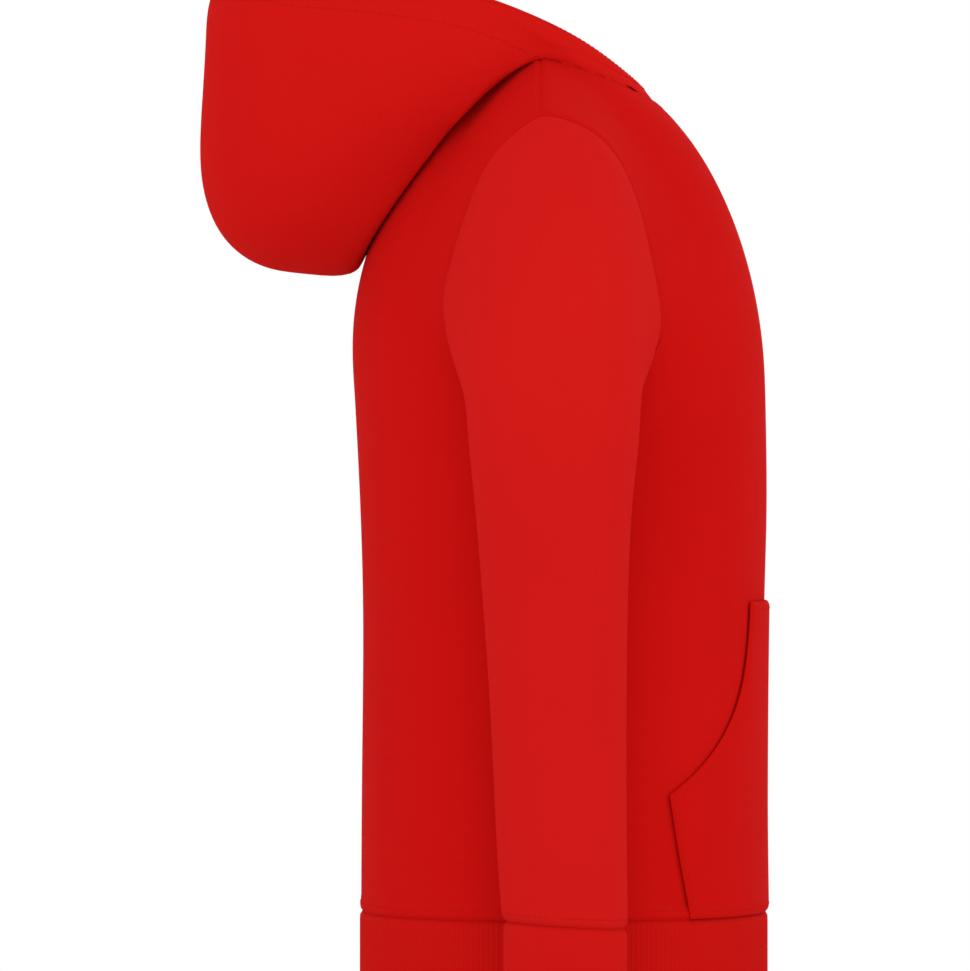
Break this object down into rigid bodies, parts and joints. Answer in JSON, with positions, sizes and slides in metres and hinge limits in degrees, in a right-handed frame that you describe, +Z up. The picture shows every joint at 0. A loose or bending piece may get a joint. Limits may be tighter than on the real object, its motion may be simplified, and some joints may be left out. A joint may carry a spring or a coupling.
{
  "type": "kids hoodie",
  "caption": "Kids' pullover hoodie, filled out as worn with the hood down, with rib cuffs, rib hem and a kangaroo pocket.",
  "frame": {"origin": "midway between the two neck ends of the shoulder seams, where the wearer's shoulders hold the garment", "axes": "+Z up, the front faces -Y, +X to the wearer's left; the shoulder seams lie in the plane Y = 0"},
  "size_m": [0.4836, 0.3088, 0.5566],
  "materials": {
    "fleece": "smooth matt sweatshirt jersey, brushed inside",
    "rib": "fine matt rib knit"
  },
  "bodies": {
    "root": {"front_panel": "fleece", "back_panel": "fleece", "sleeve_left": "fleece", "sleeve_right": "fleece", "hood_left": "fleece", "hood_right": "fleece", "kangaroo_pocket": "fleece", "cuff_left": "rib", "cuff_right": "rib", "hem_rib": "rib"}
  },
  "joints": []
}
